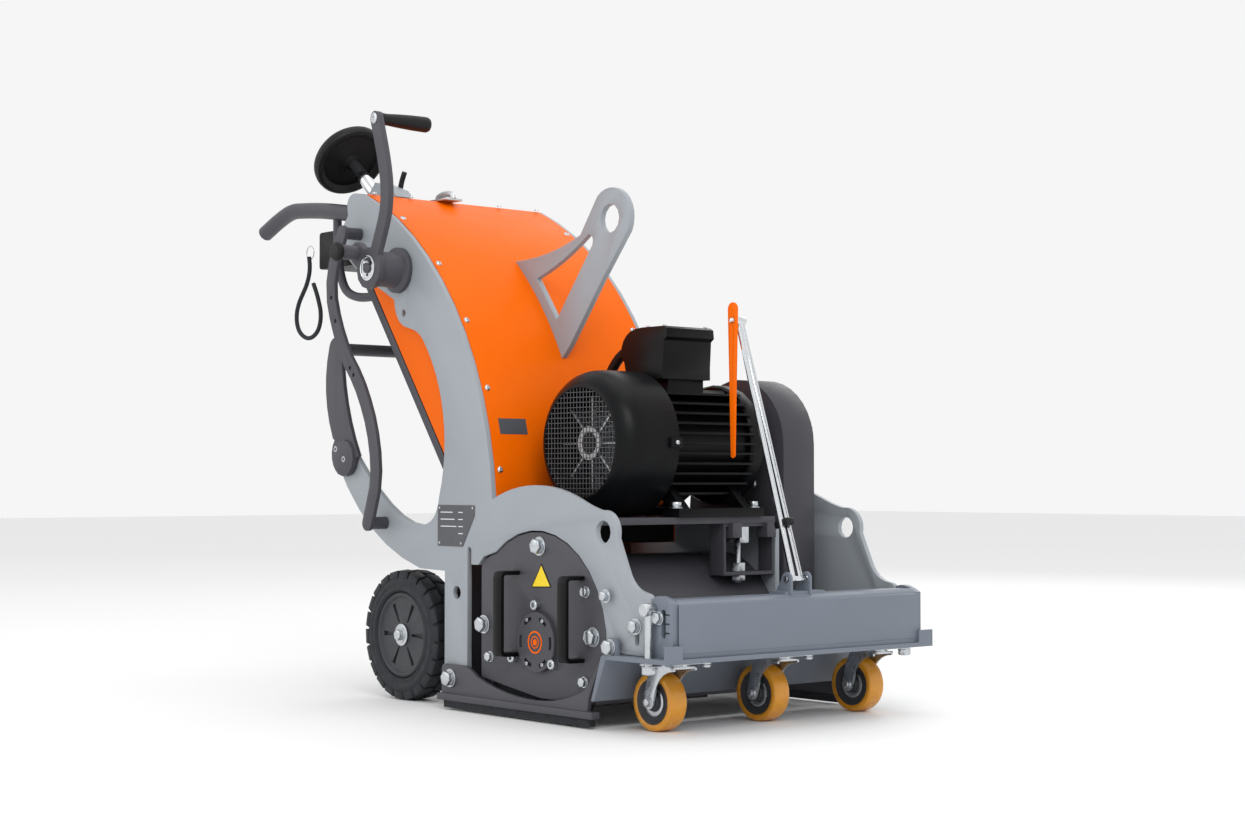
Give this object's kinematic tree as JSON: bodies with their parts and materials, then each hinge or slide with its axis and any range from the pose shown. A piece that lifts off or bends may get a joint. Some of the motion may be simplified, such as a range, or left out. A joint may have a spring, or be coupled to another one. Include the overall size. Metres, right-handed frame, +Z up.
{
  "type": "walk-behind floor milling machine",
  "caption": "Walk-behind electric floor milling machine with a cutter drum, orange hood, motor and belt drive, castor carriage, lift crank and handlebars.",
  "frame": {"origin": "on the floor, under the middle of the machine's box, measured without the hanging safety cord", "axes": "+X forwards, the castor end; +Y towards the belt guard side; +Z up"},
  "size_m": [1.3888, 0.7444, 1.1534],
  "materials": {
    "light_grey_paint": "satin powder coat",
    "graphite_paint": "satin powder coat",
    "beam_grey_paint": "satin powder coat",
    "orange_paint": "semi-gloss powder coat",
    "black_paint": "satin paint on iron and steel",
    "black_plastic": "fine moulded grain",
    "red_plastic": "smooth moulded",
    "rubber": "matte",
    "tyre_rubber": "matte",
    "polyurethane": "amber, slightly clear",
    "zinc_plate": "bright zinc plate",
    "chrome_plate": "bright",
    "steel": "machined"
  },
  "bodies": {
    "frame": {"belt_guard": "graphite_paint", "belt_tension_screw": "zinc_plate", "control_box": "black_plastic", "cover_handle_front": "black_paint", "cover_handle_rear": "black_paint", "crank_bearing": "graphite_paint", "depth_column": "chrome_plate", "drive_belt": "rubber", "drum_bearing_far": "graphite_paint", "drum_bearing_near": "graphite_paint", "drum_cover": "graphite_paint", "drum_housing": "graphite_paint", "dust_brush": "black_plastic", "eyebolt_far": "zinc_plate", "eyebolt_near": "zinc_plate", "fan_cowl": "black_paint", "handlebar_far": "graphite_paint", "handlebar_near": "graphite_paint", "handwheel_bracket": "light_grey_paint", "hood_back_panel": "graphite_paint", "hood_shell": "orange_paint", "index_bar": "graphite_paint", "lifting_eye": "light_grey_paint", "motor_base_plate": "graphite_paint", "motor_conduit": "black_plastic", "motor_housing": "black_paint", "rear_stand": "graphite_paint", "rubber_skirt_far": "rubber", "rubber_skirt_near": "rubber", "safety_cord": "rubber", "side_plate_far": "light_grey_paint", "side_plate_inner": "light_grey_paint", "side_plate_near": "light_grey_paint", "skid_rail_far": "graphite_paint", "skid_rail_near": "graphite_paint", "terminal_box": "black_paint"},
    "drum": {"cutter_drum": "steel", "drum_pulley": "steel"},
    "motor_shaft": {"motor_rotor": "steel", "cooling_fan": "black_plastic", "motor_pulley": "steel"},
    "axle": {"rear_axle": "graphite_paint"},
    "rear_wheel_near": {"wheel_near": "tyre_rubber"},
    "rear_wheel_far": {"wheel_far": "tyre_rubber"},
    "crank": {"crank_arm": "graphite_paint"},
    "crank_knob": {"crank_plunger": "black_plastic"},
    "grip": {"crank_grip": "black_plastic"},
    "hand_wheel": {"handwheel": "black_plastic"},
    "column_lever": {"clamp_lever": "black_plastic"},
    "emergency_button": {"stop_button": "red_plastic"},
    "carriage": {"front_beam": "beam_grey_paint", "castor_deck": "beam_grey_paint"},
    "pointer": {"pointer_arm": "chrome_plate"},
    "blade": {"pointer_blade": "orange_paint"},
    "castor_1": {"castor_fork_1": "zinc_plate"},
    "castor_roller_1": {"castor_wheel_1": "polyurethane"},
    "castor_2": {"castor_fork_2": "zinc_plate"},
    "castor_roller_2": {"castor_wheel_2": "polyurethane"},
    "castor_3": {"castor_fork_3": "zinc_plate"},
    "castor_roller_3": {"castor_wheel_3": "polyurethane"}
  },
  "joints": [
    {"name": "drum_spin", "type": "hinge", "parent": "frame", "child": "drum", "pos_m": [0.32943, -0.02485, 0.138], "axis": [0, 1, 0], "continuous": true},
    {"name": "motor_spin", "type": "hinge", "parent": "frame", "child": "motor_shaft", "pos_m": [0.35243, 0.05015, 0.488], "axis": [0, 1, 0], "continuous": true},
    {"name": "axle_swing", "type": "hinge", "parent": "frame", "child": "axle", "pos_m": [0.02243, 0.05015, 0.205], "axis": [0, -1, 0], "range_deg": [0, 16]},
    {"name": "wheel_near_spin", "type": "hinge", "parent": "axle", "child": "rear_wheel_near", "pos_m": [-0.12157, -0.20485, 0.125], "axis": [0, 1, 0], "continuous": true},
    {"name": "wheel_far_spin", "type": "hinge", "parent": "axle", "child": "rear_wheel_far", "pos_m": [-0.12157, 0.30515, 0.125], "axis": [0, 1, 0], "continuous": true},
    {"name": "crank_swing", "type": "hinge", "parent": "frame", "child": "crank", "pos_m": [-0.10357, -0.31585, 0.825], "axis": [0, -1, 0], "range_deg": [0, 45]},
    {"name": "crank_grip_spin", "type": "hinge", "parent": "crank", "child": "grip", "pos_m": [-0.08457, -0.25985, 1.109], "axis": [0, 1, 0], "continuous": true},
    {"name": "plunger_pull", "type": "slide", "parent": "crank", "child": "crank_knob", "axis": [0, -1, 0], "range_m": [0, 0.008], "stiffness_N_per_m": 1500, "springref_m": -0.004},
    {"name": "handwheel_spin", "type": "hinge", "parent": "frame", "child": "hand_wheel", "pos_m": [-0.33157, -0.14285, 0.995], "axis": [-0.7716, 0, 0.6361], "continuous": true},
    {"name": "clamp_lever_turn", "type": "hinge", "parent": "frame", "child": "column_lever", "pos_m": [-0.30957, -0.11185, 1.006], "axis": [0, 1, 0], "range_deg": [-30, 60]},
    {"name": "stop_press", "type": "slide", "parent": "frame", "child": "emergency_button", "axis": [1, 0, 0], "range_m": [0, 0.004], "stiffness_N_per_m": 2500, "springref_m": -0.002},
    {"name": "carriage_tilt", "type": "hinge", "parent": "frame", "child": "carriage", "pos_m": [0.54643, 0.05015, 0.143], "axis": [0, 1, 0], "range_deg": [0, 3]},
    {"name": "castor_swivel_1", "type": "hinge", "parent": "carriage", "child": "castor_1", "pos_m": [0.61543, -0.18285, 0.1], "axis": [0, 0, 1], "continuous": true},
    {"name": "castor_spin_1", "type": "hinge", "parent": "castor_1", "child": "castor_roller_1", "pos_m": [0.57743, -0.18285, 0.05], "axis": [0, 1, 0], "continuous": true},
    {"name": "castor_swivel_2", "type": "hinge", "parent": "carriage", "child": "castor_2", "pos_m": [0.61543, 0.05765, 0.1], "axis": [0, 0, 1], "continuous": true},
    {"name": "castor_spin_2", "type": "hinge", "parent": "castor_2", "child": "castor_roller_2", "pos_m": [0.57743, 0.05765, 0.05], "axis": [0, 1, 0], "continuous": true},
    {"name": "castor_swivel_3", "type": "hinge", "parent": "carriage", "child": "castor_3", "pos_m": [0.61543, 0.29815, 0.1], "axis": [0, 0, 1], "continuous": true},
    {"name": "castor_spin_3", "type": "hinge", "parent": "castor_3", "child": "castor_roller_3", "pos_m": [0.57743, 0.29815, 0.05], "axis": [0, 1, 0], "continuous": true},
    {"name": "pointer_fold", "type": "hinge", "parent": "carriage", "child": "pointer", "pos_m": [0.66943, 0.05015, 0.252], "axis": [0, 1, 0], "range_deg": [0, 105]},
    {"name": "blade_tilt", "type": "hinge", "parent": "pointer", "child": "blade", "pos_m": [0.52708, 0.03515, 0.70622], "axis": [0, 1, 0], "range_deg": [-110, 5]}
  ],
  "couplings": [
    {"joint": "motor_spin", "follows": "drum_spin", "ratio": 1.5},
    {"joint": "crank_swing", "follows": "axle_swing", "ratio": 2.8125}
  ]
}
